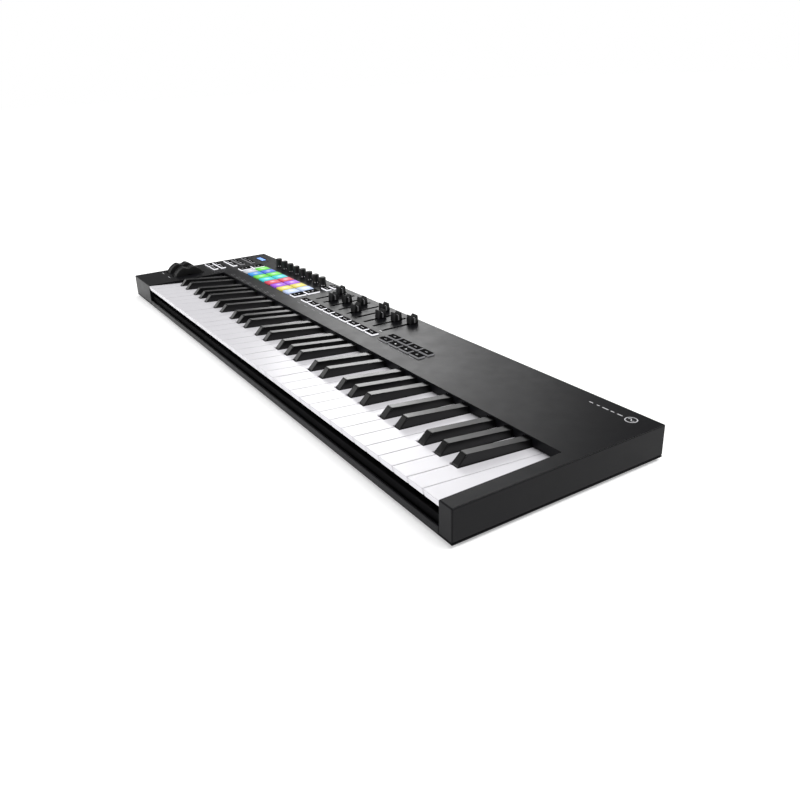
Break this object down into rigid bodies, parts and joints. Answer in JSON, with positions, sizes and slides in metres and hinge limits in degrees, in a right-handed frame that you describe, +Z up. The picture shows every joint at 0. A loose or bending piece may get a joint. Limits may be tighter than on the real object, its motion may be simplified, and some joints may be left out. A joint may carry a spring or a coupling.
{
  "type": "keyboard synthesizer",
  "caption": "Slim black keyboard synthesizer with full-size keys, lit pads, rotary knobs, faders and two performance wheels.",
  "frame": {"origin": "middle of the footprint, on the surface that the rubber feet stand on", "axes": "+X to the high notes, +Y to the rear, +Z up"},
  "size_m": [0.955, 0.26, 0.054],
  "materials": {
    "case_black": "fine matte texture",
    "inner_plastic": "matte",
    "board_green": "solder mask",
    "silicone": "matte",
    "felt": "felt",
    "spring_steel": "plain",
    "sensor_film": "matte",
    "display_blue": "lit",
    "window_black": "gloss",
    "pot_metal": "plain",
    "socket_metal": "plain",
    "socket_black": "matte",
    "foot_rubber": "matte",
    "screw_steel": "black oxide",
    "key_white": "satin gloss",
    "key_black": "satin",
    "wheel_rubber": "soft touch",
    "pad_glow": "translucent, lit from below",
    "button_black": "satin with light sides",
    "knob_black": "soft touch"
  },
  "bodies": {
    "case": {"top_case": "case_black", "bottom_case": "case_black", "key_chassis": "inner_plastic", "key_contact_board": "board_green", "contact_domes": "silicone", "key_felts": "felt", "key_springs": "spring_steel", "control_board": "board_green", "button_sheet": "silicone", "pad_sensor_sheet": "sensor_film", "display_module": "display_blue", "display_window": "window_black", "slide_pots": "pot_metal", "rotary_pots": "pot_metal", "wheel_bracket": "inner_plastic", "wheel_axle": "spring_steel", "pitch_spring": "spring_steel", "rear_board": "board_green", "usb_socket": "socket_metal", "pedal_jack": "socket_black", "midi_socket": "socket_black", "rubber_feet": "foot_rubber", "case_screws": "screw_steel"},
    "keys_c": {"keys_c": "key_white"},
    "keys_cs": {"keys_cs": "key_black"},
    "keys_d": {"keys_d": "key_white"},
    "keys_ds": {"keys_ds": "key_black"},
    "keys_e": {"keys_e": "key_white"},
    "keys_f": {"keys_f": "key_white"},
    "keys_fs": {"keys_fs": "key_black"},
    "keys_g": {"keys_g": "key_white"},
    "keys_gs": {"keys_gs": "key_black"},
    "keys_a": {"keys_a": "key_white"},
    "keys_as": {"keys_as": "key_black"},
    "keys_b": {"keys_b": "key_white"},
    "pitch_wheel": {"pitch_wheel": "wheel_rubber"},
    "mod_wheel": {"mod_wheel": "wheel_rubber"},
    "pads_rear": {"pads_rear": "pad_glow"},
    "pads_front": {"pads_front": "pad_glow"},
    "function_buttons": {"function_buttons": "button_black"},
    "side_buttons": {"side_buttons": "button_black"},
    "fader_buttons": {"fader_buttons": "button_black"},
    "transport_buttons": {"transport_buttons": "button_black"},
    "knob_1": {"knob_1": "knob_black"},
    "knob_2": {"knob_2": "knob_black"},
    "knob_3": {"knob_3": "knob_black"},
    "knob_4": {"knob_4": "knob_black"},
    "knob_5": {"knob_5": "knob_black"},
    "knob_6": {"knob_6": "knob_black"},
    "knob_7": {"knob_7": "knob_black"},
    "knob_8": {"knob_8": "knob_black"},
    "fader_1": {"fader_1": "knob_black"},
    "fader_2": {"fader_2": "knob_black"},
    "fader_3": {"fader_3": "knob_black"},
    "fader_4": {"fader_4": "knob_black"},
    "fader_5": {"fader_5": "knob_black"},
    "fader_6": {"fader_6": "knob_black"},
    "fader_7": {"fader_7": "knob_black"},
    "fader_8": {"fader_8": "knob_black"},
    "fader_9": {"fader_9": "knob_black"}
  },
  "joints": [
    {"name": "keys_c_press", "type": "hinge", "parent": "case", "child": "keys_c", "pos_m": [0, 0.046, 0.021], "axis": [1, 0, 0], "range_deg": [0, 3.4], "stiffness_Nm_per_rad": 1.5, "springref_deg": -20.05},
    {"name": "keys_cs_press", "type": "hinge", "parent": "case", "child": "keys_cs", "pos_m": [0, 0.046, 0.021], "axis": [1, 0, 0], "range_deg": [0, 3.4], "stiffness_Nm_per_rad": 1.5, "springref_deg": -20.05},
    {"name": "keys_d_press", "type": "hinge", "parent": "case", "child": "keys_d", "pos_m": [0, 0.046, 0.021], "axis": [1, 0, 0], "range_deg": [0, 3.4], "stiffness_Nm_per_rad": 1.5, "springref_deg": -20.05},
    {"name": "keys_ds_press", "type": "hinge", "parent": "case", "child": "keys_ds", "pos_m": [0, 0.046, 0.021], "axis": [1, 0, 0], "range_deg": [0, 3.4], "stiffness_Nm_per_rad": 1.5, "springref_deg": -20.05},
    {"name": "keys_e_press", "type": "hinge", "parent": "case", "child": "keys_e", "pos_m": [0, 0.046, 0.021], "axis": [1, 0, 0], "range_deg": [0, 3.4], "stiffness_Nm_per_rad": 1.5, "springref_deg": -20.05},
    {"name": "keys_f_press", "type": "hinge", "parent": "case", "child": "keys_f", "pos_m": [0, 0.046, 0.021], "axis": [1, 0, 0], "range_deg": [0, 3.4], "stiffness_Nm_per_rad": 1.5, "springref_deg": -20.05},
    {"name": "keys_fs_press", "type": "hinge", "parent": "case", "child": "keys_fs", "pos_m": [0, 0.046, 0.021], "axis": [1, 0, 0], "range_deg": [0, 3.4], "stiffness_Nm_per_rad": 1.5, "springref_deg": -20.05},
    {"name": "keys_g_press", "type": "hinge", "parent": "case", "child": "keys_g", "pos_m": [0, 0.046, 0.021], "axis": [1, 0, 0], "range_deg": [0, 3.4], "stiffness_Nm_per_rad": 1.5, "springref_deg": -20.05},
    {"name": "keys_gs_press", "type": "hinge", "parent": "case", "child": "keys_gs", "pos_m": [0, 0.046, 0.021], "axis": [1, 0, 0], "range_deg": [0, 3.4], "stiffness_Nm_per_rad": 1.5, "springref_deg": -20.05},
    {"name": "keys_a_press", "type": "hinge", "parent": "case", "child": "keys_a", "pos_m": [0, 0.046, 0.021], "axis": [1, 0, 0], "range_deg": [0, 3.4], "stiffness_Nm_per_rad": 1.5, "springref_deg": -20.05},
    {"name": "keys_as_press", "type": "hinge", "parent": "case", "child": "keys_as", "pos_m": [0, 0.046, 0.021], "axis": [1, 0, 0], "range_deg": [0, 3.4], "stiffness_Nm_per_rad": 1.5, "springref_deg": -20.05},
    {"name": "keys_b_press", "type": "hinge", "parent": "case", "child": "keys_b", "pos_m": [0, 0.046, 0.021], "axis": [1, 0, 0], "range_deg": [0, 3.4], "stiffness_Nm_per_rad": 1.5, "springref_deg": -20.05},
    {"name": "pitch_bend", "type": "hinge", "parent": "case", "child": "pitch_wheel", "pos_m": [-0.457, -0.047, 0.0255], "axis": [1, 0, 0], "range_deg": [-28, 28], "stiffness_Nm_per_rad": 0.12},
    {"name": "modulation", "type": "hinge", "parent": "case", "child": "mod_wheel", "pos_m": [-0.421, -0.047, 0.0255], "axis": [1, 0, 0], "range_deg": [-28, 28]},
    {"name": "pads_rear_press", "type": "slide", "parent": "case", "child": "pads_rear", "axis": [0, 0, -1], "range_m": [0, 0.0008], "stiffness_N_per_m": 2500, "springref_m": -0.0012},
    {"name": "pads_front_press", "type": "slide", "parent": "case", "child": "pads_front", "axis": [0, 0, -1], "range_m": [0, 0.0008], "stiffness_N_per_m": 2500, "springref_m": -0.0012},
    {"name": "function_buttons_press", "type": "slide", "parent": "case", "child": "function_buttons", "axis": [0, 0, -1], "range_m": [0, 0.001], "stiffness_N_per_m": 1200, "springref_m": -0.001},
    {"name": "side_buttons_press", "type": "slide", "parent": "case", "child": "side_buttons", "axis": [0, 0, -1], "range_m": [0, 0.001], "stiffness_N_per_m": 1200, "springref_m": -0.001},
    {"name": "fader_buttons_press", "type": "slide", "parent": "case", "child": "fader_buttons", "axis": [0, 0, -1], "range_m": [0, 0.001], "stiffness_N_per_m": 1200, "springref_m": -0.001},
    {"name": "transport_buttons_press", "type": "slide", "parent": "case", "child": "transport_buttons", "axis": [0, 0, -1], "range_m": [0, 0.001], "stiffness_N_per_m": 1200, "springref_m": -0.001},
    {"name": "knob_1_turn", "type": "hinge", "parent": "case", "child": "knob_1", "pos_m": [-0.357, 0.108, 0.04], "axis": [0, 0, 1], "range_deg": [-140, 140]},
    {"name": "knob_2_turn", "type": "hinge", "parent": "case", "child": "knob_2", "pos_m": [-0.33255, 0.108, 0.04], "axis": [0, 0, 1], "range_deg": [-140, 140]},
    {"name": "knob_3_turn", "type": "hinge", "parent": "case", "child": "knob_3", "pos_m": [-0.3081, 0.108, 0.04], "axis": [0, 0, 1], "range_deg": [-140, 140]},
    {"name": "knob_4_turn", "type": "hinge", "parent": "case", "child": "knob_4", "pos_m": [-0.28365, 0.108, 0.04], "axis": [0, 0, 1], "range_deg": [-140, 140]},
    {"name": "knob_5_turn", "type": "hinge", "parent": "case", "child": "knob_5", "pos_m": [-0.2592, 0.108, 0.04], "axis": [0, 0, 1], "range_deg": [-140, 140]},
    {"name": "knob_6_turn", "type": "hinge", "parent": "case", "child": "knob_6", "pos_m": [-0.23475, 0.108, 0.04], "axis": [0, 0, 1], "range_deg": [-140, 140]},
    {"name": "knob_7_turn", "type": "hinge", "parent": "case", "child": "knob_7", "pos_m": [-0.2103, 0.108, 0.04], "axis": [0, 0, 1], "range_deg": [-140, 140]},
    {"name": "knob_8_turn", "type": "hinge", "parent": "case", "child": "knob_8", "pos_m": [-0.18585, 0.108, 0.04], "axis": [0, 0, 1], "range_deg": [-140, 140]},
    {"name": "fader_1_slide", "type": "slide", "parent": "case", "child": "fader_1", "axis": [0, 1, 0], "range_m": [-0.04, 0.005]},
    {"name": "fader_2_slide", "type": "slide", "parent": "case", "child": "fader_2", "axis": [0, 1, 0], "range_m": [-0.013, 0.032]},
    {"name": "fader_3_slide", "type": "slide", "parent": "case", "child": "fader_3", "axis": [0, 1, 0], "range_m": [-0.0234, 0.0216]},
    {"name": "fader_4_slide", "type": "slide", "parent": "case", "child": "fader_4", "axis": [0, 1, 0], "range_m": [-0.0362, 0.0088]},
    {"name": "fader_5_slide", "type": "slide", "parent": "case", "child": "fader_5", "axis": [0, 1, 0], "range_m": [-0.0108, 0.0342]},
    {"name": "fader_6_slide", "type": "slide", "parent": "case", "child": "fader_6", "axis": [0, 1, 0], "range_m": [-0.0449, 0.0001]},
    {"name": "fader_7_slide", "type": "slide", "parent": "case", "child": "fader_7", "axis": [0, 1, 0], "range_m": [-0.0233, 0.0217]},
    {"name": "fader_8_slide", "type": "slide", "parent": "case", "child": "fader_8", "axis": [0, 1, 0], "range_m": [-0.0341, 0.0109]},
    {"name": "fader_9_slide", "type": "slide", "parent": "case", "child": "fader_9", "axis": [0, 1, 0], "range_m": [-0.045, 0]}
  ]
}
